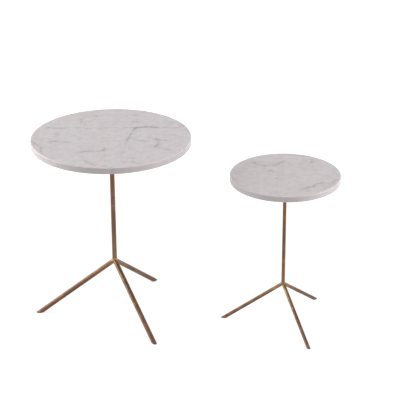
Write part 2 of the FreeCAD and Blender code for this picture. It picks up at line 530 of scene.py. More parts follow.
@dataclass(frozen=True)
class MarbleFinish(Finish):
    """Honed pale grey marble with soft grey veins that run through its thickness."""

    centre: tuple[float, float]
    turn: float                       # of the slab on its stand, in degrees
    veins: tuple[Vein, ...]
    stone: Colour = (0.60, 0.56, 0.575)
    warm: Colour = (0.61, 0.54, 0.545)
    shade: Colour = (0.40, 0.37, 0.385)
    # painted shade: a darker tone laid over the slab's edge band, standing in for the shade that the
    # band gets from the lamps
    rim: Colour = (0.49, 0.44, 0.43)
    # painted highlight: a light tone laid on the slab's eased edges, standing in for the bright
    # reflection along them
    arris_highlight: Colour = (0.70, 0.655, 0.65)
    vein: Colour = (0.235, 0.21, 0.22)
    warm_share: float = 0.6           # how strongly each is laid over the stone
    shade_share: float = 0.36
    hair_share: float = 0.17
    halo_share: float = 0.26
    core_share: float = 0.9
    rim_shade_share: float = 0.5
    arris_highlight_share: float = 0.7
    wander: float = 4.5 * MM          # how far veins stray from straight runs
    tremble: float = 2.0 * MM

    def wire(self, wiring: Wiring, surface: bpy.types.Node) -> None:
        """Feed the surface shader.

        Args:
            wiring: Adds nodes to the material.
            surface: The material's Principled BSDF.
        """
        place = self.slab_place(wiring)
        clouds = wiring.effect(StoneClouds, Position=place).outputs
        edge = self.attribute(wiring, "wear", "Fac")
        # the edge mask places the painted highlight and smooths the polish there
        wear_and_highlight_mask = wiring.effect(EdgeWearAndHighlight, Mark=edge, Position=place).outputs["Mask"]
        # where the edge band is, for its painted shade
        side = self.attribute(wiring, "side", "Fac")
        core, halo = self.vein_masks(wiring, place)
        colour: Feed = self.stone
        for mask, share, tint in ((clouds["Broad"], self.warm_share, self.warm),
                                  (clouds["Small"], self.shade_share, self.shade),
                                  (clouds["Hair"], self.hair_share, self.vein),
                                  (halo, self.halo_share, self.vein),
                                  (core, self.core_share, self.vein),
                                  # painted shade over the edge band
                                  (side, self.rim_shade_share, self.rim),
                                  # painted highlight along the eased edges
                                  (wear_and_highlight_mask, self.arris_highlight_share, self.arris_highlight)):
            colour = wiring.blend(wiring.maths("MULTIPLY", mask, share), colour, tint)
        grain = wiring.maths("MULTIPLY_ADD", clouds["Grain"], 0.14, 0.93)
        colour = wiring.blend(1.0, colour, wiring.vector("SCALE", (1.0, 1.0, 1.0), scale=grain),
                              "MULTIPLY")
        wiring.feed(surface.inputs["Base Color"], colour)
        sawn = self.attribute(wiring, "sawn", "Fac")
        rough = wiring.maths("MULTIPLY_ADD", clouds["Small"], 0.08, 0.32)
        rough = wiring.maths("MULTIPLY_ADD", wear_and_highlight_mask, -0.08, rough)
        rough = wiring.maths("MULTIPLY_ADD", sawn, 0.35, rough)
        wiring.feed(surface.inputs["Roughness"], rough)
        self.relief(wiring, surface, clouds["Grain"], 0.008 * MM)

    def slab_place(self, wiring: Wiring) -> bpy.types.NodeSocket:
        """Position on the slab, turned with the stone.

        Args:
            wiring: Adds nodes to the material.

        Returns:
            The position's socket.
        """
        position = wiring.add("ShaderNodeTexCoord").outputs["Object"]
        centred = wiring.vector("SUBTRACT", position, (*self.centre, 0.0))
        turned = wiring.add("ShaderNodeVectorRotate", rotation_type="Z_AXIS")
        wiring.feed(turned.inputs["Vector"], centred)
        turned.inputs["Angle"].default_value = math.radians(-self.turn)
        return turned.outputs["Vector"]

    def vein_masks(self, wiring: Wiring,
                   place: bpy.types.NodeSocket) -> tuple[bpy.types.NodeSocket, Feed]:
        """Where the veins are.

        Args:
            wiring: Adds nodes to the material.
            place: Position on the slab.

        Returns:
            Masks of the veins' cores and of their halos.
        """
        slow = wiring.noise(place, 16.0, detail=2.0).outputs["Color"]
        quick = wiring.noise(place, 130.0, detail=3.0, roughness=0.6).outputs["Color"]
        stray = place
        for noise, reach in ((slow, self.wander), (quick, self.tremble)):
            swing = wiring.vector("SUBTRACT", noise, (0.5, 0.5, 0.5))
            swing = wiring.vector("SCALE", swing, scale=2.0 * reach)
            stray = wiring.vector("ADD", stray, swing)
        flat = wiring.vector("MULTIPLY", stray, (1.0, 1.0, 0.0))
        pulse = wiring.noise(place, 75.0, detail=3.0, roughness=0.6).outputs[0]
        beat = wiring.ramp(pulse, 0.32, 0.6, 0.3, 1.0)
        swell = wiring.ramp(pulse, 0.3, 0.7, 0.6, 1.7)
        core: Feed = 0.0
        halo: Feed = 0.0
        for vein in self.veins:
            for start, end in zip(vein.points, vein.points[1:]):
                run = (end[0] - start[0], end[1] - start[1])
                strand = wiring.effect(
                    VeinStrand,
                    Position=flat,
                    Start=(start[0] * MM, start[1] * MM, 0.0),
                    Run=(run[0] * MM, run[1] * MM, 0.0),
                    Width=vein.width * MM,
                    Swell=swell,
                    Strength=vein.strength,
                    Core=core,
                    Halo=halo,
                ).outputs
                core, halo = strand["Core"], strand["Halo"]
        return wiring.maths("MULTIPLY", core, beat), wiring.maths("MULTIPLY", halo, beat)


@dataclass(frozen=True)
class BrassFinish(Finish):
    """Satin antique brass plating on steel, brown, turning gold where edge wear thins the plating,
    and near the joints as a painted highlight.
    """

    plate: Colour = (0.195, 0.101, 0.059)
    streak: Colour = (0.30, 0.17, 0.10)
    # gold tone for wear on the edges, and a painted highlight near the joints
    gold_wear_and_highlight: Colour = (0.42, 0.265, 0.125)
    tarnished: Colour = (0.085, 0.045, 0.032)
    streak_share: float = 0.5
    worn_share: float = 0.8
    joint_highlight_share: float = 0.6          # of the gold tone, painted near the joints as a highlight
    patch_share: float = 0.5
    spot_share: float = 0.2
    stretch: tuple[float, float, float] = (1.0, 1.0, 0.02)
    tarnish: float = 0.5
    highlight_reach: float = 0.11        # how far from the joints the painted highlight fades out

    def wire(self, wiring: Wiring, surface: bpy.types.Node) -> None:
        """Feed the surface shader.

        Args:
            wiring: Adds nodes to the material.
            surface: The material's Principled BSDF.
        """
        lay = self.attribute(wiring, "lay")
        place = wiring.add("ShaderNodeTexCoord").outputs["Object"]
        lines = wiring.effect(DrawnLines, Lay=lay, Stretch=self.stretch).outputs
        tarnish = wiring.effect(Tarnish, Position=place, Amount=self.tarnish).outputs
        edge = self.attribute(wiring, "wear", "Fac")
        wear_and_highlight_mask = wiring.effect(EdgeWearAndHighlight, Mark=edge, Position=place).outputs["Mask"]
        far = wiring.vector("LENGTH", lay)
        # painted highlight: the gold tone laid near the joints stands in for the lamps' highlights
        # there; on the edges it is wear
        near = wiring.ramp(far, 0.0, self.highlight_reach, self.joint_highlight_share, 0.0)
        rubbed_and_highlight = wiring.maths("MAXIMUM", near, wiring.maths("MULTIPLY", wear_and_highlight_mask, self.worn_share))
        streaks = wiring.maths("MULTIPLY", lines["Tone"], self.streak_share)
        colour = wiring.blend(streaks, self.plate, self.streak)
        colour = wiring.blend(rubbed_and_highlight, colour, self.gold_wear_and_highlight)
        patches = wiring.maths("MULTIPLY", tarnish["Patch"], self.patch_share)
        dark = wiring.maths("MULTIPLY_ADD", tarnish["Spot"], self.spot_share, patches, clamp=True)
        wiring.feed(surface.inputs["Base Color"], wiring.blend(dark, colour, self.tarnished))
        rough = wiring.maths("MULTIPLY_ADD", tarnish["Patch"], 0.16, 0.27)
        wiring.feed(surface.inputs["Roughness"],
                    wiring.maths("MULTIPLY_ADD", lines["Tone"], 0.08, rough))
        surface.inputs["Metallic"].default_value = 1.0
        self.relief(wiring, surface, lines["Height"], 0.01 * MM)


@dataclass(frozen=True)
class PlainMetalFinish(Finish):
    """Machined metal with fine turning lines."""

    bright: Colour
    dull: Colour
    stretch: tuple[float, float, float] = (0.03, 0.03, 1.0)
    roughness: float = 0.34

    def wire(self, wiring: Wiring, surface: bpy.types.Node) -> None:
        """Feed the surface shader.

        Args:
            wiring: Adds nodes to the material.
            surface: The material's Principled BSDF.
        """
        lay = self.attribute(wiring, "lay")
        lines = wiring.effect(DrawnLines, Lay=lay, Stretch=self.stretch).outputs
        grime = wiring.effect(Tarnish, Position=lay, Amount=0.35).outputs
        colour = wiring.blend(wiring.maths("MULTIPLY", grime["Patch"], 0.7), self.bright, self.dull)
        tone = wiring.maths("MULTIPLY_ADD", lines["Tone"], 0.15, 0.9)
        colour = wiring.blend(1.0, colour, wiring.vector("SCALE", (1.0, 1.0, 1.0), scale=tone),
                              "MULTIPLY")
        wiring.feed(surface.inputs["Base Color"], colour)
        wiring.feed(surface.inputs["Roughness"],
                    wiring.maths("MULTIPLY_ADD", grime["Patch"], 0.2, self.roughness))
        surface.inputs["Metallic"].default_value = 1.0
        self.relief(wiring, surface, lines["Height"], 0.008 * MM)


@dataclass(frozen=True)
class MouldedFinish(Finish):
    """Moulded plastic or foam rubber with a fine skin texture and scuffs."""

    body: Colour
    scuffed: Colour
    roughness: float
    depth: float

    def wire(self, wiring: Wiring, surface: bpy.types.Node) -> None:
        """Feed the surface shader.

        Args:
            wiring: Adds nodes to the material.
            surface: The material's Principled BSDF.
        """
        place = wiring.add("ShaderNodeTexCoord").outputs["Object"]
        skin = wiring.effect(Speckle, Position=place).outputs
        scuff = wiring.effect(Tarnish, Position=place, Amount=0.45).outputs
        colour = wiring.blend(wiring.maths("MULTIPLY", skin["Tone"], 0.5), self.body, self.scuffed)
        colour = wiring.blend(wiring.maths("MULTIPLY", scuff["Spot"], 0.5), colour, self.scuffed)
        wiring.feed(surface.inputs["Base Color"], colour)
        wiring.feed(surface.inputs["Roughness"],
                    wiring.maths("MULTIPLY_ADD", skin["Tone"], 0.12, self.roughness))
        self.relief(wiring, surface, skin["Height"], self.depth)


# --------------------------------------------------------------------------
# Meshes


@dataclass(frozen=True)
class Axis:
    """The straight line that a round piece is built along, from its origin."""

    origin: Vector
    along: Vector

    def matrix(self) -> Matrix:
        """Return the placement that carries local +Z onto this line."""
        turn = Vector((0, 0, 1)).rotation_difference(self.along).to_matrix().to_4x4()
        return Matrix.Translation(self.origin) @ turn

    def square_ring(self, radius: float, distance: float, count: int) -> list[Vector]:
        """Points of a circle square to the line, in local coordinates.

        Args:
            radius: The circle's radius.
            distance: How far along the line it is.
            count: How many points.

        Returns:
            The points.
        """
        steps = [FULL_TURN * k / count for k in range(count)]
        return [Vector((radius * math.cos(a), radius * math.sin(a), distance)) for a in steps]

    def level_ring(self, radius: float, height: float, count: int) -> list[Vector]:
        """Points where a tube round the line meets a level plane, in local coordinates.

        Args:
            radius: The tube's radius.
            height: The plane's height above the floor.
            count: How many points.

        Returns:
            The points.
        """
        rise = self.matrix().to_3x3().row[2]
        points = []
        for point in self.square_ring(radius, 0.0, count):
            level = height - self.origin.z - point.x * rise[0] - point.y * rise[1]
            points.append(Vector((point.x, point.y, level / rise[2])))
        return points


UPRIGHT = Axis(Vector((0, 0, 0)), Vector((0, 0, 1)))


@dataclass(frozen=True)
class Corner:
    """A corner of a turned outline, with the radius that eases it."""

    radius: float
    height: float
    ease: float = 0.0


class Skin:
    """Faces stretched between rings of points."""

    def __init__(self) -> None:
        """Start with no points."""
        self.points: list[Vector] = []
        self.faces: list[tuple[int, ...]] = []

    def ring(self, points: Sequence[Vector]) -> list[int]:
        """Add points.

        Args:
            points: The new points.

        Returns:
            Their numbers.
        """
        first = len(self.points)
        self.points.extend(points)
        return list(range(first, len(self.points)))

    def band(self, lower: Sequence[int], upper: Sequence[int]) -> None:
        """Join two closed rings of equal count with quads.

        Args:
            lower: Numbers of the first ring's points.
            upper: Numbers of the second ring's points.
        """
        count = len(lower)
        for k in range(count):
            after = (k + 1) % count
            self.faces.append((lower[k], lower[after], upper[after], upper[k]))

    def bands(self, rings: Sequence[Sequence[int]], closed: bool = False) -> None:
        """Join rings one after another.

        Args:
            rings: The rings in order.
            closed: Whether the last is joined to the first.
        """
        for lower, upper in zip(rings, rings[1:]):
            self.band(lower, upper)
        if closed:
            self.band(rings[-1], rings[0])

    def fan(self, ring: Sequence[int], centre: Vector, outward: bool) -> None:
        """Close a ring with triangles to one point.

        Args:
            ring: Numbers of the ring's points.
            centre: The point.
            outward: Whether the ring runs the way that faces out.
        """
        hub = self.ring([centre])[0]
        count = len(ring)
        for k in range(count):
            pair = (ring[k], ring[(k + 1) % count])
            self.faces.append((*pair, hub) if outward else (*reversed(pair), hub))

    def mesh(self, name: str) -> bpy.types.Mesh:
        """Return the faces as a mesh, with its faces turned outwards.

        Args:
            name: The mesh's name.
        """
        mesh = bpy.data.meshes.new(name)
        mesh.from_pydata([tuple(p) for p in self.points], [], self.faces)
        shape = bmesh.new()
        shape.from_mesh(mesh)
        bmesh.ops.remove_doubles(shape, verts=shape.verts, dist=1e-7)
        bmesh.ops.recalc_face_normals(shape, faces=shape.faces)
        shape.to_mesh(mesh)
        shape.free()
        return mesh


EASE_STEPS = 5                        # faces across an eased corner
SUPPORT = 0.8                         # how far beside an arc its flat gets a point
HOLE_POINTS = 32


def outline(corners: Sequence[Corner], closed: bool) -> list[tuple[float, float]]:
    """Round the eased corners of a turned outline.

    Args:
        corners: The outline's corners in order.
        closed: Whether the last corner is followed by the first.

    Returns:
        Points of radius and height, with one beside each arc to keep flats flat.
    """
    points: list[tuple[float, float]] = []
    count = len(corners)
    for k, corner in enumerate(corners):
        here = Vector((corner.radius, corner.height))
        inner = closed or 0 < k < count - 1
        if corner.ease <= 0 or not inner:
            points.append(tuple(here))
            continue
        before = corners[k - 1]
        after = corners[(k + 1) % count]
        back = Vector((before.radius, before.height)) - here
        on = Vector((after.radius, after.height)) - here
        half = back.angle(on) / 2
        set_back = corner.ease / math.tan(half)
        support = set_back * (1 + SUPPORT)
        if support < back.length * 0.5:
            points.append(tuple(here + back.normalized() * support))
        start = here + back.normalized() * set_back
        end = here + on.normalized() * set_back
        middle = here + (back.normalized() + on.normalized()).normalized() * (
            corner.ease / math.sin(half))
        sweep = math.pi - 2 * half
        first = start - middle
        turn = math.copysign(sweep, first.cross(end - middle))
        for step in range(EASE_STEPS + 1):
            arm = Matrix.Rotation(turn * step / EASE_STEPS, 2) @ first
            points.append(tuple(middle + arm))
        if support < on.length * 0.5:
            points.append(tuple(here + on.normalized() * support))
    return points


def turned(name: str, corners: Sequence[Corner], count: int) -> bpy.types.Mesh:
    """Turn an outline round local +Z.

    Args:
        name: The mesh's name.
        corners: The outline. It is closed unless it starts and ends on the axis.
        count: Points round the turn.

    Returns:
        The mesh in local coordinates.
    """
    on_axis = corners[0].radius == 0 and corners[-1].radius == 0
    points = outline(corners, closed=not on_axis)
    skin = Skin()
    body = points[1:-1] if on_axis else points
    rings = [skin.ring(UPRIGHT.square_ring(r, z, count)) for r, z in body]
    skin.bands(rings, closed=not on_axis)
    if on_axis:
        skin.fan(rings[0], Vector((0, 0, points[0][1])), outward=False)
        skin.fan(rings[-1], Vector((0, 0, points[-1][1])), outward=True)
    return skin.mesh(name)


@dataclass
class Piece:
    """One finished piece of the object on its way into the scene."""

    name: str
    mesh: bpy.types.Mesh
    axis: Axis
    finish: Finish
    body: str
    nodes: tuple[str, ...]
    sharp_angle: float = 32.0
    thing: bpy.types.Object = field(init=False)

    def __post_init__(self) -> None:
        """Put the mesh in its place."""
        self.mesh.transform(self.axis.matrix())
        self.thing = bpy.data.objects.new(self.name, self.mesh)
        bpy.context.scene.collection.objects.link(self.thing)

    def drill(self, centres: Sequence[Vector], radius: float, length: float) -> None:
        """Cut round holes upwards from the centres.

        Args:
            centres: Middle of each hole's lower end.
            radius: The holes' radius.
            length: The holes' length.
        """
        cutter = Skin()
        for centre in centres:
            circle = [UPRIGHT.square_ring(radius, height, HOLE_POINTS) for height in (0.0, length)]
            low, high = (cutter.ring([centre + point for point in ring]) for ring in circle)
            cutter.band(low, high)
            cutter.fan(low, centre, outward=False)
            cutter.fan(high, centre + Vector((0, 0, length)), outward=True)
        tool = bpy.data.objects.new("drill", cutter.mesh("drill"))
        bpy.context.scene.collection.objects.link(tool)
        cut = self.thing.modifiers.new("drill", "BOOLEAN")
        cut.operation = "DIFFERENCE"
        cut.solver = "EXACT"
        cut.object = tool
        self.apply()
        bpy.data.objects.remove(tool)

    def apply(self) -> None:
        """Bake the modifiers into the mesh."""
        graph = bpy.context.evaluated_depsgraph_get()
        made = bpy.data.meshes.new_from_object(self.thing.evaluated_get(graph))
        self.thing.modifiers.clear()
        self.thing.data = made
        self.mesh = made

    def mark(self, name: str, chosen: Callable[[Vector], bool]) -> None:
        """Store a mark on some of the mesh's points, for the finish to read.

        Args:
            name: The mark's name.
            chosen: Whether a point at the given place has it.
        """
        marks = self.mesh.attributes.new(name, "FLOAT", "POINT")
        marks.data.foreach_set("value", [float(chosen(v.co)) for v in self.mesh.vertices])

    def mark_wear(self) -> None:
        """Mark the mesh's edges and eased corners, which the brass reads as wear and the marble as a
        painted highlight.
        """
        shape = bmesh.new()
        shape.from_mesh(self.mesh)
        bends = [max((e.calc_face_angle(0.0) for e in v.link_edges), default=0.0)
                 for v in shape.verts]
        shape.free()
        marks = self.mesh.attributes.new("wear", "FLOAT", "POINT")
        start = math.radians(10)
        marks.data.foreach_set("value", [min(1.0, max(0.0, (b - start) / start)) for b in bends])

    def place(self) -> None:
        """Shade, dress and attach the piece, and hide the solids it stands for."""
        lay = self.mesh.attributes.new("lay", "FLOAT_VECTOR", "POINT")
        local = self.axis.matrix().inverted()
        for vertex, value in zip(self.mesh.vertices, lay.data):
            value.vector = local @ vertex.co
        self.mark_wear()
        self.mesh.shade_smooth()
        self.mesh.set_sharp_from_angle(angle=math.radians(self.sharp_angle))
        self.mesh.materials.clear()
        self.mesh.materials.append(self.finish.material())
        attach(self.thing, self.body)
        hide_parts(*self.nodes)
        LOG.info("%s: %d faces on %s", self.name, len(self.mesh.polygons), self.body)


def joined(name: str, meshes: Sequence[bpy.types.Mesh],
           places: Sequence[Vector]) -> bpy.types.Mesh:
    """Gather meshes into one, each moved to its own place.

    Args:
        name: The new mesh's name.
        meshes: The meshes, which are used up.
        places: Where each goes.

    Returns:
        The new mesh.
    """
    shape = bmesh.new()
    for mesh, place in zip(meshes, places):
        mesh.transform(Matrix.Translation(place))
        shape.from_mesh(mesh)
        bpy.data.meshes.remove(mesh)
    made = bpy.data.meshes.new(name)
    shape.to_mesh(made)
    shape.free()
    return made


# --------------------------------------------------------------------------
# Sub-assemblies


@dataclass(frozen=True)
class TableFrame:
    """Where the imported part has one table, and the names its pieces go by."""

    name: str

    @property
    def body(self) -> str:
        """Name of the body that the table's pieces ride on."""
        return self.name + "_table"

    def node(self, piece: str) -> str:
        """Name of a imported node.

        Args:
            piece: The piece's own name.

        Returns:
            The node's name.
        """
        return self.name + "_" + piece

    def box(self, piece: str) -> tuple[Vector, Vector]:
        """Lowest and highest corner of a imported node.

        Args:
            piece: The piece's own name.

        Returns:
            The corners.
        """
        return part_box(self.node(piece))

    def middle(self, piece: str) -> Vector:
        """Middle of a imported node's box.

        Args:
            piece: The piece's own name.

        Returns:
            The middle.
        """
        low, high = self.box(piece)
        return (low + high) / 2

    def width(self, piece: str) -> float:
        """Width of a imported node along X.

        Args:
            piece: The piece's own name.

        Returns:
            The width.
        """
        low, high = self.box(piece)
        return high.x - low.x

    def column_at(self, height: float) -> Vector:
        """Point of the column's axis.

        Args:
            height: Height above the floor.

        Returns:
            The point.
        """
        middle = self.middle("column_tube")
        return Vector((middle.x, middle.y, height))

    def upright(self, height: float) -> Axis:
        """Vertical axis through the column.

        Args:
            height: Height of its origin.

        Returns:
            The axis.
        """
        return Axis(self.column_at(height), Vector((0, 0, 1)))

    def foot(self, side: LegSide) -> Vector:
        """Point on the floor under a leg's axis.

        Args:
            side: Which leg.

        Returns:
            The point.
        """
        wanted = "%s_foot_%s" % (self.name, side.value)
        mounts = frame["record"]["mounts"]
        return Vector(next(m["pos_m"] for m in mounts if m["name"] == wanted))

    def points(self, piece: str) -> np.ndarray:
        """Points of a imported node's mesh.

        Args:
            piece: The piece's own name.

        Returns:
            The points, one in a row.
        """
        mesh = frame["nodes"][self.node(piece)].data
        return np.array([vertex.co for vertex in mesh.vertices])

    def group_radius(self, piece: str, along: int) -> float:
        """Radius of each of four like round pieces that share a node.

        Args:
            piece: The group's own name.
            along: The coordinate to measure along, 0 for X or 1 for Y.

        Returns:
            The radius.
        """
        points = self.points(piece)
        middle = self.middle(piece)
        near = points[(points[:, 0] > middle.x) & (points[:, 1] > middle.y), along]
        return float(near.max() - near.min()) / 2

    def group_centres(self, piece: str) -> list[Vector]:
        """Centres of four like pieces that share a node, one in each quarter.

        Args:
            piece: The group's own name.

        Returns:
            Each one's centre, at the group's lowest level.
        """
        points = self.points(piece)
        middle = self.middle(piece)
        centres = []
        for x_side in (1, -1):
            for y_side in (1, -1):
                near = points[((points[:, 0] - middle.x) * x_side > 0)
                              & ((points[:, 1] - middle.y) * y_side > 0)]
                centre = (near.min(0) + near.max(0)) / 2
                centres.append(Vector((centre[0], centre[1], near[:, 2].min())))
        return centres


@dataclass(frozen=True)
class Tabletop:
    """The marble slab with its threaded inserts."""

    table: TableFrame
    finish: MarbleFinish
    top_ease: float = 2.0 * MM
    bottom_ease: float = 1.0 * MM
    insert_play: float = 0.1 * MM
    insert_relief: float = 1.0 * MM
    rim_points: int = 192

    def build(self) -> None:
        """Build the slab and the inserts."""
        self.slab()
        self.inserts()

    def slab(self) -> None:
        """Build the slab with eased edges and blind holes."""
        table = self.table
        low, high = table.box("top_slab")
        radius = (high.x - low.x) / 2
        thick = high.z - low.z
        flats = [Corner(radius * share, thick) for share in (0.96, 0.72, 0.4, 0.15)]
        unders = [Corner(radius * share, 0) for share in (0.15, 0.5, 0.96)]
        corners = [Corner(0, 0), *unders, Corner(radius, 0, self.bottom_ease),
                   Corner(radius, thick, self.top_ease), *flats, Corner(0, thick)]
        mesh = turned("slab", corners, self.rim_points)
        piece = Piece(table.name + "_slab", mesh, table.upright(low.z), self.finish,
                      table.body, (table.node("top_slab"),))
        insert_low, insert_high = table.box("slab_inserts")
        hole = table.group_radius("slab_inserts", 0) + self.insert_play
        depth = insert_high.z - insert_low.z + self.insert_relief
        mouths = [Vector((c.x, c.y, low.z - MM)) for c in table.group_centres("slab_inserts")]
        piece.drill(mouths, hole, depth + MM)
        underside = low.z + 0.2 * MM
        rim_top = high.z - 0.6 * MM
        piece.mark("sawn", lambda point: point.z < underside)
        # the edge band, which the marble finish paints darker as painted shade
        piece.mark("side", lambda point: underside < point.z < rim_top)
        piece.place()

    def inserts(self) -> None:
        """Build the knurled brass inserts."""
        table = self.table
        low, high = table.box("slab_inserts")
        outer = table.group_radius("slab_inserts", 0)
        inner = outer - 1.5 * MM
        length = high.z - low.z
        centres = table.group_centres("slab_inserts")
        meshes = [knurled_sleeve(outer, inner, length) for _ in centres]
        mesh = joined("inserts", meshes, [c - table.column_at(low.z) for c in centres])
        Piece(table.name + "_inserts", mesh, table.upright(low.z), TURNED_BRASS,
              table.body, (table.node("slab_inserts"),)).place()


def knurled_sleeve(outer: float, inner: float, length: float) -> bpy.types.Mesh:
    """A short threaded sleeve with a diamond knurl outside.

    Args:
        outer: Outer radius over the knurl.
        inner: Bore radius.
        length: Length along the axis.

    Returns:
        The mesh, standing on the origin.
    """
    count, rows, teeth, depth = 48, 24, 12, 0.3 * MM
    skin = Skin()
    rings = [skin.ring(UPRIGHT.square_ring(inner, 0, count))]
    for row in range(rows + 1):
        share = row / rows
        ring = []
        for k in range(count):
            angle = FULL_TURN * k / count
            left = math.cos(teeth * (angle + 2 * share))
            right = math.cos(teeth * (angle - 2 * share))
            radius = outer - depth * (0.5 - 0.25 * (left + right))
            ring.append(Vector((radius * math.cos(angle), radius * math.sin(angle),
                                share * length)))
        rings.append(skin.ring(ring))
    rings.append(skin.ring(UPRIGHT.square_ring(inner, length, count)))
    skin.bands(rings, closed=True)
    return skin.mesh("sleeve")


def threaded_rod(radius: float, length: float, pitch: float) -> tuple[list[list[Vector]], int]:
    """Rings of a rod with a rolled thread, from its root up.

    Args:
        radius: Outer radius of the thread.
        length: Length along the axis.
        pitch: Rise of the thread in one turn.

    Returns:
        The rings in order, and how many points each has.
    """
    count, rows_in_turn = 24, 6
    depth = 0.55 * pitch
    rows = int(length / pitch * rows_in_turn)
    rings = []
    for row in range(rows + 1):
        height = length * row / rows
        runout = min(1.0, (length - height) / pitch, height / pitch)
        ring = []
        for k in range(count):
            share = (height / pitch - k / count) % 1.0
            crest = 1 - abs(2 * share - 1)
            reach = radius - depth * (1 - crest * runout)
            angle = FULL_TURN * k / count
            ring.append(Vector((reach * math.cos(angle), reach * math.sin(angle), height)))
        rings.append(ring)
    return rings, count


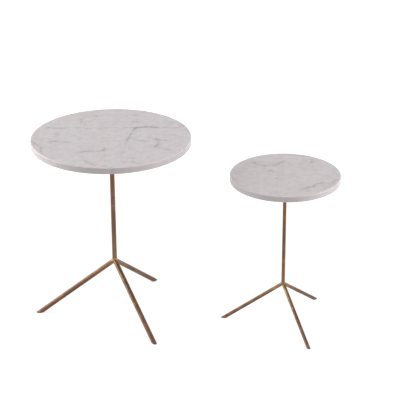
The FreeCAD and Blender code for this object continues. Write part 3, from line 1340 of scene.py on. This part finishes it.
@dataclass(frozen=True)
class Undercarriage:
    """What joins the slab to the column: pad, plate, boss, screws, washers and stud."""

    table: TableFrame
    brass: BrassFinish
    thread: float
    stud_thread: float
    head: float
    socket: float
    hole_play: float = 0.3 * MM

    def build(self) -> None:
        """Build every piece under the slab."""
        self.disc("plate_pad", FOAM_RUBBER, 0.5 * MM)
        self.disc("mounting_plate", self.brass, 0.8 * MM)
        self.boss()
        self.screws()
        self.washers()
        self.stud()

    def disc(self, node: str, finish: Finish, ease: float) -> None:
        """Build a round plate or pad with holes for the screws.

        Args:
            node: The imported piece's own name.
            finish: Its finish.
            ease: Rounding of its edges.
        """
        table = self.table
        low, high = table.box(node)
        radius = (high.x - low.x) / 2
        thick = high.z - low.z
        corners = [Corner(0, 0), Corner(radius * 0.9, 0), Corner(radius, 0, ease),
                   Corner(radius, thick, ease * 0.5), Corner(radius * 0.9, thick),
                   Corner(0, thick)]
        piece = Piece(table.name + "_" + node, turned(node, corners, 96), table.upright(low.z),
                      finish, table.body, (table.node(node),))
        centres = [Vector((c.x, c.y, low.z - MM)) for c in table.group_centres("slab_inserts")]
        piece.drill(centres, self.thread / 2 + self.hole_play, thick + 2 * MM)
        if node == "mounting_plate":
            spigot = table.box("plate_boss")[1].z
            start = table.column_at(low.z - MM)
            piece.drill([start], self.spigot_radius() + 0.1 * MM, spigot - low.z + 2 * MM)
        piece.place()

    def spigot_radius(self) -> float:
        """Return the radius of the boss's end in the plate."""
        points = self.table.points("plate_boss")
        top = points[points[:, 2] > points[:, 2].max() - 0.01 * MM]
        return float(top[:, 0].max() - top[:, 0].min()) / 2

    def boss(self) -> None:
        """Build the turned boss with a groove, and the weld bead round it."""
        table = self.table
        low, high = table.box("plate_boss")
        radius = (high.x - low.x) / 2
        shoulder = table.box("mounting_plate")[0].z - low.z
        top = high.z - low.z
        spigot = self.spigot_radius()
        bore = self.stud_thread / 2 + 0.05 * MM
        depth = shoulder - 3 * MM
        groove = shoulder * 0.32
        corners = [
            Corner(0, depth), Corner(bore, depth, 0.2 * MM), Corner(bore, 0, 0.2 * MM),
            Corner(radius - 1.2 * MM, 0, 0.4 * MM), Corner(radius, 1.2 * MM, 0.4 * MM),
            Corner(radius, groove, 0.1 * MM), Corner(radius - 0.5 * MM, groove + 0.3 * MM),
            Corner(radius - 0.5 * MM, groove + 0.9 * MM),
            Corner(radius, groove + 1.2 * MM, 0.1 * MM),
            Corner(radius, shoulder, 0.1 * MM), Corner(spigot, shoulder, 0.1 * MM),
            Corner(spigot, top, 0.2 * MM), Corner(0, top),
        ]
        Piece(table.name + "_boss", turned("boss", corners, 64), table.upright(low.z),
              self.brass, table.body, (table.node("plate_boss"),)).place()
        self.weld_bead(radius, low.z + shoulder)

    def weld_bead(self, radius: float, height: float) -> None:
        """Build the rippled bead that joins the boss to the plate.

        Args:
            radius: The boss's radius.
            height: Height of the plate's underside.
        """
        count, size, ripples = 180, 2.4 * MM, 30
        skin = Skin()
        sections = []
        for step in range(4):
            lean = math.radians(90 * step / 3)
            ring = []
            for k in range(count):
                angle = FULL_TURN * k / count
                ripple = size * (1 + 0.10 * math.cos(ripples * angle + 1.3 * step))
                out = radius - 0.1 * MM + ripple * math.sin(lean)
                drop = ripple * math.cos(lean)
                ring.append(Vector((out * math.cos(angle), out * math.sin(angle), -drop)))
            sections.append(skin.ring(ring))
        sections.append(skin.ring(UPRIGHT.square_ring(radius * 0.97, 0.0, count)))
        skin.bands(sections, closed=True)
        piece = Piece(self.table.name + "_boss_weld", skin.mesh("weld"),
                      self.table.upright(height), self.brass, self.table.body, ())
        piece.place()

    def screws(self) -> None:
        """Build the button-head screws with a rolled thread and a hexagon socket."""
        table = self.table
        low, high = table.box("plate_screws")
        head_height = self.head_height()
        length = high.z - low.z - head_height
        centres = table.group_centres("plate_screws")
        meshes = [self.screw(head_height, length) for _ in centres]
        mesh = joined("screws", meshes, [c - table.column_at(low.z) for c in centres])
        Piece(table.name + "_screws", mesh, table.upright(low.z), ZINC_STEEL, table.body,
              (table.node("plate_screws"),)).place()

    def head_height(self) -> float:
        """Return the height of a screw's head."""
        return self.table.box("spring_washers")[0].z - self.table.box("plate_screws")[0].z

    def screw(self, head_height: float, length: float) -> bpy.types.Mesh:
        """One screw, its head's lowest point at the origin.

        Args:
            head_height: Height of the head.
            length: Length under the head.

        Returns:
            The mesh.
        """
        rings, count = threaded_rod(self.thread / 2, length, self.thread / 6)
        radius = self.head / 2
        crown = radius * 0.55
        skin = Skin()
        flat = self.socket / 2
        depth = head_height * 0.6
        hexagon = [hexagon_reach(flat, FULL_TURN * k / count) for k in range(count)]
        spots = [(math.cos(FULL_TURN * k / count), math.sin(FULL_TURN * k / count))
                 for k in range(count)]
        floor = [Vector((h * x, h * y, depth)) for h, (x, y) in zip(hexagon, spots)]
        mouth = [Vector((h * x, h * y, 0.0)) for h, (x, y) in zip(hexagon, spots)]
        stack = [skin.ring(floor), skin.ring(mouth), skin.ring(UPRIGHT.square_ring(crown, 0, count))]
        for step in range(1, 6):
            lean = math.radians(90 * step / 5)
            reach = crown + (radius - crown) * math.sin(lean)
            drop = head_height * 0.72 * (1 - math.cos(lean))
            stack.append(skin.ring(UPRIGHT.square_ring(reach, drop, count)))
        stack.append(skin.ring(UPRIGHT.square_ring(radius, head_height, count)))
        shank = [[p + Vector((0, 0, head_height)) for p in ring] for ring in rings]
        stack += [skin.ring(ring) for ring in shank]
        skin.bands(stack)
        skin.fan(stack[0], Vector((0, 0, depth + 0.3 * MM)), outward=False)
        skin.fan(stack[-1], Vector((0, 0, head_height + length)), outward=True)
        return skin.mesh("screw")

    def washers(self) -> None:
        """Build the split spring washers."""
        table = self.table
        low, high = table.box("spring_washers")
        outer = table.group_radius("spring_washers", 1)
        inner = self.thread / 2 + 0.1 * MM
        thick = high.z - low.z
        centres = table.group_centres("spring_washers")
        meshes = [split_washer(outer, inner, thick) for _ in centres]
        mesh = joined("washers", meshes, [c - table.column_at(low.z) for c in centres])
        Piece(table.name + "_washers", mesh, table.upright(low.z), ZINC_STEEL, table.body,
              (table.node("spring_washers"),)).place()

    def stud(self) -> None:
        """Build the column's stud: a plain plug with a threaded end."""
        table = self.table
        low, high = table.box("column_stud")
        seat = table.box("column_tube")[1].z
        plug = (high.x - low.x) / 2
        rings, count = threaded_rod(self.stud_thread / 2, high.z - seat, self.stud_thread / 6)
        skin = Skin()
        rise = seat - low.z
        stack = [skin.ring(UPRIGHT.square_ring(plug - 0.4 * MM, 0, count)),
                 skin.ring(UPRIGHT.square_ring(plug, 0.4 * MM, count)),
                 skin.ring(UPRIGHT.square_ring(plug, rise, count))]
        stack += [skin.ring([p + Vector((0, 0, rise)) for p in ring]) for ring in rings]
        skin.bands(stack)
        skin.fan(stack[0], Vector(), outward=False)
        skin.fan(stack[-1], Vector((0, 0, high.z - low.z)), outward=True)
        Piece(table.name + "_stud", skin.mesh("stud"), table.upright(low.z), ZINC_STEEL,
              table.body, (table.node("column_stud"),)).place()


def hexagon_reach(half_width: float, angle: float) -> float:
    """Distance from a hexagon's centre to its edge.

    Args:
        half_width: Half the distance between its flats.
        angle: Direction, in radians.

    Returns:
        The distance.
    """
    sector = math.radians(60)
    return half_width / math.cos((angle % sector) - sector / 2)


def split_washer(outer: float, inner: float, thick: float) -> bpy.types.Mesh:
    """A flattened spring washer with a slanting split.

    Args:
        outer: Outer radius.
        inner: Inner radius.
        thick: Thickness.

    Returns:
        The mesh, standing on the origin.
    """
    steps = 40
    gap = math.radians(8)
    section = [(inner, 0.15), (inner, 0.85), (inner + 0.2 * MM, 1.0), (outer - 0.2 * MM, 1.0),
               (outer, 0.85), (outer, 0.15), (outer - 0.2 * MM, 0.0), (inner + 0.2 * MM, 0.0)]
    skin = Skin()
    rings = []
    for step in range(steps + 1):
        angle = gap + (FULL_TURN - 2 * gap) * step / steps
        ring = []
        for radius, share in section:
            slant = angle + math.radians(5) * (share - 0.5)
            ring.append(Vector((radius * math.cos(slant), radius * math.sin(slant),
                                share * thick)))
        rings.append(skin.ring(ring))
    skin.bands(rings)
    skin.faces.append(tuple(rings[0]))
    skin.faces.append(tuple(reversed(rings[-1])))
    return skin.mesh("washer")


@dataclass(frozen=True)
class Stand:
    """The column, the hub and the three legs with their glides."""

    table: TableFrame
    brass: BrassFinish
    tube_wall: float
    arm_spare: float = 4.0 * MM       # a hub arm's length beyond the tube's radius
    blend_size: float = 3.2 * MM      # how far the hub's arms melt into each other
    worn_end: float = 1.2 * MM        # how far the wear of a leg's ends reaches
    stem_length: float = 16.0 * MM    # of a glide, inside its leg
    stem_ribs: int = 4
    tube_points: int = 48

    @property
    def radius(self) -> float:
        """Outer radius of the tubes."""
        return self.table.width("column_tube") / 2

    @property
    def reach(self) -> float:
        """Length of a hub arm from the hub's centre."""
        return self.radius + self.arm_spare

    @property
    def centre(self) -> Vector:
        """Point where the tubes' axes meet."""
        return self.table.column_at(self.table.box("column_tube")[0].z - self.reach)

    def leg_axis(self, side: LegSide) -> Axis:
        """Axis of a leg, from the hub's centre to the floor.

        Args:
            side: Which leg.

        Returns:
            The axis.
        """
        return Axis(self.centre, (self.table.foot(side) - self.centre).normalized())

    def build(self) -> None:
        """Build every piece of the stand."""
        self.column()
        self.hub()
        for side in LegSide:
            self.leg(side)
            self.glide(side)

    def column(self) -> None:
        """Build the upright tube."""
        table = self.table
        low, high = table.box("column_tube")
        inner = self.radius - self.tube_wall
        length = high.z - low.z
        ease = 0.15 * MM
        corners = [Corner(inner, 0, ease), Corner(self.radius, 0, ease),
                   Corner(self.radius, length * 0.5),
                   Corner(self.radius, length, ease), Corner(inner, length, ease)]
        Piece(table.name + "_column", turned("column", corners, self.tube_points),
              table.upright(low.z), self.brass, table.body, (table.node("column_tube"),)).place()

    def hub(self) -> None:
        """Build the junction, its four arms melting smoothly into each other."""
        table = self.table
        axes = [Vector((0, 0, 1))] + [self.leg_axis(side).along for side in LegSide]
        mesh = melted_arms(axes, self.radius, self.reach, self.blend_size)
        Piece(table.name + "_hub", mesh, table.upright(self.centre.z), self.brass, table.body,
              (table.node("leg_hub"),), sharp_angle=50.0).place()

    def leg(self, side: LegSide) -> None:
        """Build a sloping tube with a level cut at its foot.

        Args:
            side: Which leg.
        """
        table = self.table
        axis = self.leg_axis(side)
        cut = table.box("leg_" + side.value)[0].z
        inner = self.radius - self.tube_wall
        count = self.tube_points
        skin = Skin()
        middle = (table.foot(side) - self.centre).length / 2
        rings = [
            axis.square_ring(self.radius, self.reach, count),
            axis.square_ring(self.radius, self.reach + self.worn_end, count),
            axis.square_ring(self.radius, middle, count),
            axis.level_ring(self.radius, cut + self.worn_end, count),
            axis.level_ring(self.radius, cut + 0.2 * MM, count),
            axis.level_ring(self.radius - 0.2 * MM, cut, count),
            axis.level_ring(inner, cut, count),
            axis.square_ring(inner, self.reach, count),
        ]
        skin.bands([skin.ring(ring) for ring in rings], closed=True)
        Piece(table.name + "_leg_" + side.value, skin.mesh("leg"), axis, self.brass, table.body,
              (table.node("leg_" + side.value),)).place()

    def glide(self, side: LegSide) -> None:
        """Build a moulded foot with a rounded sole and a ribbed stem in the leg.

        Args:
            side: Which leg.
        """
        table = self.table
        axis = self.leg_axis(side)
        top = table.box("leg_" + side.value)[0].z
        stem = self.radius - self.tube_wall - 0.1 * MM
        count = self.tube_points
        run = (table.foot(side) - self.centre).length
        skin = Skin()
        rings = [
            axis.level_ring(self.radius - 0.9 * MM, 0.0, count),
            axis.level_ring(self.radius - 0.45 * MM, 0.12 * MM, count),
            axis.level_ring(self.radius - 0.12 * MM, 0.5 * MM, count),
            axis.level_ring(self.radius, 1.0 * MM, count),
            axis.level_ring(self.radius, top - 0.5 * MM, count),
            axis.level_ring(self.radius - 0.25 * MM, top - 0.1 * MM, count),
            axis.level_ring(self.radius - 0.4 * MM, top, count),
            axis.level_ring(stem, top, count),
        ]
        stem_end = run - self.stem_length
        rib_foot = min(p.z for p in rings[-1]) - 0.5 * MM
        pitch = (rib_foot - stem_end) / (self.stem_ribs + 1)
        for rib in range(self.stem_ribs):
            base = rib_foot - rib * pitch
            rings.append(axis.square_ring(stem - 0.4 * MM, base, count))
            rings.append(axis.square_ring(stem - 0.4 * MM, base - 0.5 * pitch, count))
            rings.append(axis.square_ring(stem, base - 0.6 * pitch, count))
        rings.append(axis.square_ring(stem - 0.6 * MM, stem_end, count))
        numbers = [skin.ring(ring) for ring in rings]
        skin.bands(numbers)
        bottom = sum(rings[0], Vector()) / count
        skin.fan(numbers[0], bottom, outward=False)
        skin.fan(numbers[-1], Vector((0, 0, stem_end)), outward=True)
        Piece(table.name + "_glide_" + side.value, skin.mesh("glide"), axis, GLIDE_PLASTIC,
              table.body, (table.node("glide_" + side.value),)).place()


def melted_arms(axes: Sequence[Vector], radius: float, reach: float,
                melt: float) -> bpy.types.Mesh:
    """Round arms from one point that melt into each other, each with a flat end.

    Args:
        axes: Unit direction of each arm.
        radius: The arms' radius.
        reach: The arms' length from the point.
        melt: How far the arms blend.

    Returns:
        The mesh, with the point at the origin.
    """
    cell = radius / 11
    rough = bmesh.new()
    for axis in axes:
        place = Axis(axis * (reach / 2), axis).matrix()
        bmesh.ops.create_cone(rough, cap_ends=True, segments=40, radius1=radius * 1.1,
                              radius2=radius * 1.1, depth=reach, matrix=place)
    bmesh.ops.create_icosphere(rough, subdivisions=3, radius=radius * 1.15)
    mesh = bpy.data.meshes.new("hub")
    rough.to_mesh(mesh)
    rough.free()
    thing = bpy.data.objects.new("hub_blank", mesh)
    bpy.context.scene.collection.objects.link(thing)
    remesh = thing.modifiers.new("cells", "REMESH")
    remesh.mode = "VOXEL"
    remesh.voxel_size = cell
    graph = bpy.context.evaluated_depsgraph_get()
    made = bpy.data.meshes.new_from_object(thing.evaluated_get(graph))
    bpy.data.objects.remove(thing)
    points = np.array([v.co for v in made.vertices])
    lines = np.array([tuple(a) for a in axes])
    points = settle_on_arms(points, lines, radius, reach, melt, cell)
    made.vertices.foreach_set("co", points.astype(np.float32).ravel())
    made.update()
    return made


def settle_on_arms(points: np.ndarray, lines: np.ndarray, radius: float, reach: float,
                   melt: float, cell: float) -> np.ndarray:
    """Move points onto the smooth surface of melted arms.

    Args:
        points: The points, one in a row.
        lines: Unit direction of each arm.
        radius: The arms' radius.
        reach: The arms' length.
        melt: How far the arms blend.
        cell: Size of the cells that the points came from.

    Returns:
        The moved points.
    """
    def depth(place: np.ndarray) -> np.ndarray:
        """Signed distance from the surface, negative inside."""
        gaps = []
        for line in lines:
            share = np.clip(place @ line, 0, None)
            gaps.append(np.linalg.norm(place - share[:, None] * line, axis=1) - radius)
        stack = np.array(gaps)
        soft = -melt / 4 * np.log(np.exp(-stack / (melt / 4)).sum(0))
        ends = (place @ lines.T).max(1) - reach
        return np.maximum(soft, ends)

    for _ in range(8):
        here = depth(points)
        slope = np.stack([(depth(points + step) - depth(points - step)) / (2 * cell * 0.05)
                          for step in np.eye(3) * cell * 0.05], axis=1)
        size = np.maximum(np.linalg.norm(slope, axis=1, keepdims=True), 0.5)
        points = points - slope / size * np.clip(here, -cell, cell)[:, None]
    for line in lines:
        share = points @ line
        end = share > reach - 0.45 * cell
        points[end] += (reach - share[end])[:, None] * line
        off = points[end] - reach * line
        away = np.linalg.norm(off, axis=1)
        rim = away > radius - 0.45 * cell
        off[rim] *= (radius / away[rim])[:, None]
        points[end] = reach * line + off
    return points


# --------------------------------------------------------------------------
# Studio


@dataclass(frozen=True)
class Lamp:
    """A square soft lamp."""

    name: str
    place: Vector
    target: Vector
    size: tuple[float, float]
    power: float

    def build(self) -> None:
        """Hang the lamp."""
        light = bpy.data.lights.new(self.name, "AREA")
        light.shape = "RECTANGLE"
        light.size, light.size_y = self.size
        light.energy = self.power
        thing = bpy.data.objects.new(self.name, light)
        thing.location = self.place
        thing.rotation_euler = (self.target - self.place).to_track_quat("-Z", "Y").to_euler()
        thing.visible_camera = False
        bpy.context.scene.collection.objects.link(thing)


@dataclass(frozen=True)
class Studio:
    """Pale floor, soft lamps, white surroundings and the camera."""

    eye: Vector = Vector((0.4972, -3.3747, 1.8505))
    heading: float = 7.72             # degrees left of +Y
    tilt: float = 24.05               # degrees below level
    roll: float = -0.27
    lens: float = 133.6               # millimetres on a 36 mm sensor
    floor_size: float = 40.0
    ambient: float = 0.22
    ceiling: float = 0.3              # how bright metal sees what is overhead
    floor_tone: float = 0.8           # of the floor for the light that it returns
    seen_tone: float = 0.3            # of the floor's lit share, as the eye sees it
    seen_glow: float = 0.8            # added to that near the tables, and 1 far away

    def build(self) -> None:
        """Build the whole studio."""
        self.floor()
        self.surroundings()
        self.lamps()
        self.camera()
        bpy.context.scene.view_settings.view_transform = "Standard"

    def camera(self) -> None:
        """Set up the camera."""
        camera = bpy.data.cameras.new("camera")
        camera.lens = self.lens
        camera.sensor_width = 36.0
        camera.clip_end = 100.0
        thing = bpy.data.objects.new("camera", camera)
        turn = (Matrix.Rotation(math.radians(self.heading), 4, "Z")
                @ Matrix.Rotation(math.radians(90 - self.tilt), 4, "X")
                @ Matrix.Rotation(math.radians(self.roll), 4, "Z"))
        thing.matrix_world = Matrix.Translation(self.eye) @ turn
        bpy.context.scene.collection.objects.link(thing)
        bpy.context.scene.camera = thing

    @staticmethod
    def seen(wiring: Wiring) -> bpy.types.NodeSocket:
        """Return a mask that is 1 for what the eye sees, directly or mirrored.

        Args:
            wiring: Adds nodes to the tree.
        """
        path = wiring.add("ShaderNodeLightPath").outputs
        mirrored = wiring.maths("MAXIMUM", path["Is Glossy Ray"], path["Is Transmission Ray"])
        return wiring.maths("MAXIMUM", path["Is Camera Ray"], mirrored)

    def floor(self) -> None:
        """Lay the floor."""
        half = self.floor_size / 2
        skin = Skin()
        skin.faces.append(tuple(skin.ring([Vector((-half, -half, 0)), Vector((half, -half, 0)),
                                           Vector((half, half, 0)), Vector((-half, half, 0))])))
        thing = bpy.data.objects.new("floor", skin.mesh("floor"))
        bpy.context.scene.collection.objects.link(thing)
        thing.data.materials.append(self.floor_material())

    def floor_material(self) -> bpy.types.Material:
        """Return the floor's material: white to the eye, with a faint shadow."""
        made = bpy.data.materials.new("pale_floor")
        made.use_nodes = True
        wiring = Wiring(made.node_tree)
        surface = made.node_tree.nodes["Principled BSDF"]
        place = wiring.add("ShaderNodeTexCoord").outputs["Object"]
        mottle = wiring.noise(place, 3.0).outputs[0]
        seen = self.seen(wiring)
        tone = wiring.ramp(seen, 0.0, 1.0, self.floor_tone, self.seen_tone)
        tone = wiring.maths("MULTIPLY", tone, wiring.ramp(mottle, 0.0, 1.0, 0.98, 1.0))
        wiring.feed(surface.inputs["Base Color"],
                    wiring.vector("SCALE", (1.0, 1.0, 1.0), scale=tone))
        surface.inputs["Roughness"].default_value = 0.9
        surface.inputs["Specular IOR Level"].default_value = 0.0
        surface.inputs["Emission Color"].default_value = (1.0, 1.0, 1.0, 1.0)
        far = wiring.vector("LENGTH", place)
        glow = wiring.ramp(far, 0.5, 1.4, self.seen_glow, 1.0)
        wiring.feed(surface.inputs["Emission Strength"], wiring.maths("MULTIPLY", glow, seen))
        return made

    def surroundings(self) -> None:
        """Surround the scene with white that lights it only softly."""
        world = bpy.data.worlds.new("surroundings")
        world.use_nodes = True
        bpy.context.scene.world = world
        wiring = Wiring(world.node_tree)
        background = world.node_tree.nodes["Background"]
        background.inputs["Color"].default_value = (1.0, 1.0, 1.0, 1.0)
        path = wiring.add("ShaderNodeLightPath").outputs
        upward = wiring.add("ShaderNodeSeparateXYZ")
        wiring.feed(upward.inputs[0], wiring.add("ShaderNodeTexCoord").outputs["Generated"])
        sweep = wiring.ramp(upward.outputs["Z"], 0.35, 0.75, 1.0, self.ceiling)
        mirrored = wiring.maths("MAXIMUM", path["Is Glossy Ray"], path["Is Transmission Ray"])
        around = wiring.maths("MULTIPLY", mirrored, sweep)
        shown = wiring.maths("MAXIMUM", path["Is Camera Ray"], around)
        wiring.feed(background.inputs["Strength"], wiring.maths("MAXIMUM", shown, self.ambient))

    def lamps(self) -> None:
        """Hang the soft lamps: one overhead and one at each side."""
        middle = Vector((0.0, 0.0, 0.3))
        for lamp in (
            Lamp("overhead", Vector((0.0, -0.2, 2.6)), middle, (2.2, 2.0), 27.5),
            Lamp("side_right", Vector((2.5, -0.3, 0.95)), middle, (2.2, 1.8), 52.0),
            Lamp("side_left", Vector((-2.4, -0.1, 0.95)), middle, (2.6, 1.8), 60.0),
        ):
            lamp.build()


# --------------------------------------------------------------------------
# The object's own finishes


TURNED_BRASS = PlainMetalFinish("turned_brass", Slot.INSERT_BRASS, bright=(0.66, 0.48, 0.22),
                                dull=(0.42, 0.30, 0.15))
ZINC_STEEL = PlainMetalFinish("zinc_steel", Slot.ZINC_STEEL, bright=(0.60, 0.61, 0.62),
                              dull=(0.40, 0.40, 0.39), roughness=0.3)
FOAM_RUBBER = MouldedFinish("foam_rubber", Slot.PAD_RUBBER, body=(0.025, 0.025, 0.026),
                            scuffed=(0.06, 0.058, 0.055), roughness=0.75, depth=0.08 * MM)
GLIDE_PLASTIC = MouldedFinish("glide_plastic", Slot.GLIDE_PLASTIC, body=(0.09, 0.066, 0.05),
                              scuffed=(0.19, 0.155, 0.125), roughness=0.45, depth=0.02 * MM)
ANTIQUE_BRASS = BrassFinish("antique_brass", Slot.ANTIQUE_BRASS)
BRASS_PLATE = BrassFinish("antique_brass_plate", Slot.ANTIQUE_BRASS, stretch=(0.05, 1.0, 1.0),
                          tarnish=0.6, highlight_reach=0.03)

LARGE_VEINS = (
    Vein(((190, 70), (178, 79)), 3.0, 0.8),
    Vein(((178, 79), (165, 61), (145, 62), (115, 64)), 2.0, 0.5),
    Vein(((115, 64), (87, 68), (75, 66), (61, 62), (54, 50)), 4.0, 1.0),
    Vein(((54, 50), (50, 24), (45, -6), (41, -26)), 3.0, 0.75),
    Vein(((41, -26), (37, -70), (31, -135)), 3.0, 0.2),
    Vein(((-166, 66), (-148, 64), (-128, 61)), 2.6, 0.75),
    Vein(((-128, 61), (-100, 70), (-53, 58), (-31, 52)), 1.5, 0.35),
    Vein(((-31, 52), (-16, 64), (25, 64), (54, 62)), 1.5, 0.4),
    Vein(((-85, 126), (-79, 113), (-82, 100)), 2.4, 0.5),
    Vein(((-71, 88), (-69, 104), (-57, 104)), 2.2, 0.5),
    Vein(((-64, 145), (-55, 152), (-45, 148)), 3.0, 0.5),
    Vein(((-146, 92), (-135, 91)), 2.2, 0.4),
    Vein(((-2, 94), (16, 118)), 1.6, 0.4),
    Vein(((49, 102), (58, 108), (68, 98)), 2.6, 0.5),
    Vein(((52, 154), (60, 150)), 2.6, 0.4),
    Vein(((-149, -30), (-135, -25), (-119, -30), (-106, -31)), 3.2, 0.75),
    Vein(((-145, -72), (-128, -58)), 1.8, 0.3),
    Vein(((-66, -98), (-57, -93), (-46, -93)), 3.4, 0.9),
    Vein(((-46, -93), (-31, -95), (-13, -88), (-11, -73)), 2.6, 0.7),
    Vein(((-9, -90), (-8, -127)), 1.8, 0.35),
    Vein(((67, -29), (79, -27), (92, -31)), 2.2, 0.5),
    Vein(((92, -2), (103, -2), (113, -16)), 2.2, 0.5),
    Vein(((113, -16), (121, -23), (138, -22)), 3.2, 0.85),
    Vein(((119, -28), (117, -52)), 2.2, 0.4),
    Vein(((117, -52), (110, -68)), 3.8, 0.9),
    Vein(((131, -81), (150, -88)), 2.6, 0.6),
    Vein(((46, -71), (53, -81)), 2.4, 0.4),
    Vein(((-194, -27), (-182, -48), (-168, -65), (-166, -93), (-158, -107)), 2.8, 0.7),
    Vein(((-57, -154), (-45, -166), (-30, -178)), 2.8, 0.45),
    Vein(((36, -163), (59, -160), (74, -172)), 2.6, 0.4),
    Vein(((48, -141), (66, -136)), 2.2, 0.35),
    Vein(((-13, -188), (10, -192)), 2.6, 0.4),
    Vein(((-49, 185), (-28, 193)), 2.0, 0.35),
    Vein(((143, 97), (158, 97)), 3.6, 0.4),
    Vein(((-141, 23), (-135, 16)), 2.4, 0.35),
)
SMALL_VEINS = (
    Vein(((-75, 77), (-71, 69), (-60, 62)), 2.8, 0.95),
    Vein(((-60, 62), (-48, 57), (-32, 56), (-21, 59)), 2.0, 0.75),
    Vein(((-21, 59), (-9, 73), (5, 86)), 2.2, 0.75),
    Vein(((-39, 24), (-27, 20)), 3.0, 0.5),
    Vein(((-29, -26), (-20, -26)), 3.4, 0.45),
    Vein(((-19, -4), (-16, -14)), 2.2, 0.3),
    Vein(((73, 93), (70, 76)), 2.8, 0.75),
    Vein(((126, -34), (112, -52), (98, -60), (90, -51)), 2.2, 0.45),
    Vein(((90, -51), (78, -57), (69, -66), (64, -78)), 2.6, 0.6),
    Vein(((64, -78), (52, -84), (43, -90)), 3.4, 0.95),
    Vein(((92, -10), (99, -13)), 2.8, 0.5),
    Vein(((114, -60), (89, -87)), 2.0, 0.45),
    Vein(((-131, -25), (-122, -42)), 2.6, 0.5),
    Vein(((-122, 4), (-112, 22)), 2.2, 0.25),
    Vein(((-115, -62), (-95, -72)), 2.0, 0.3),
    Vein(((14, 126), (46, 119)), 2.6, 0.4),
    Vein(((46, -104), (55, -102)), 2.2, 0.3),
)


def main() -> None:
    """Build the studio and both tables."""
    logging.basicConfig(level=logging.INFO, format="%(name)s %(message)s")
    Studio().build()
    large = TableFrame("large")
    small = TableFrame("small")
    for table, turn, veins in ((large, 7.7, LARGE_VEINS), (small, 7.7, SMALL_VEINS)):
        column = table.column_at(0.0)
        marble = MarbleFinish(table.name + "_marble", Slot.MARBLE, (column.x, column.y), turn,
                              veins)
        Tabletop(table, marble).build()
    Undercarriage(large, BRASS_PLATE, thread=6 * MM, stud_thread=6 * MM, head=10.5 * MM,
                  socket=4 * MM).build()
    Undercarriage(small, BRASS_PLATE, thread=5 * MM, stud_thread=5 * MM, head=9.5 * MM,
                  socket=3 * MM).build()
    Stand(large, ANTIQUE_BRASS, tube_wall=1.5 * MM).build()
    Stand(small, ANTIQUE_BRASS, tube_wall=1.0 * MM).build()


if __name__ == "__main__":
    main()
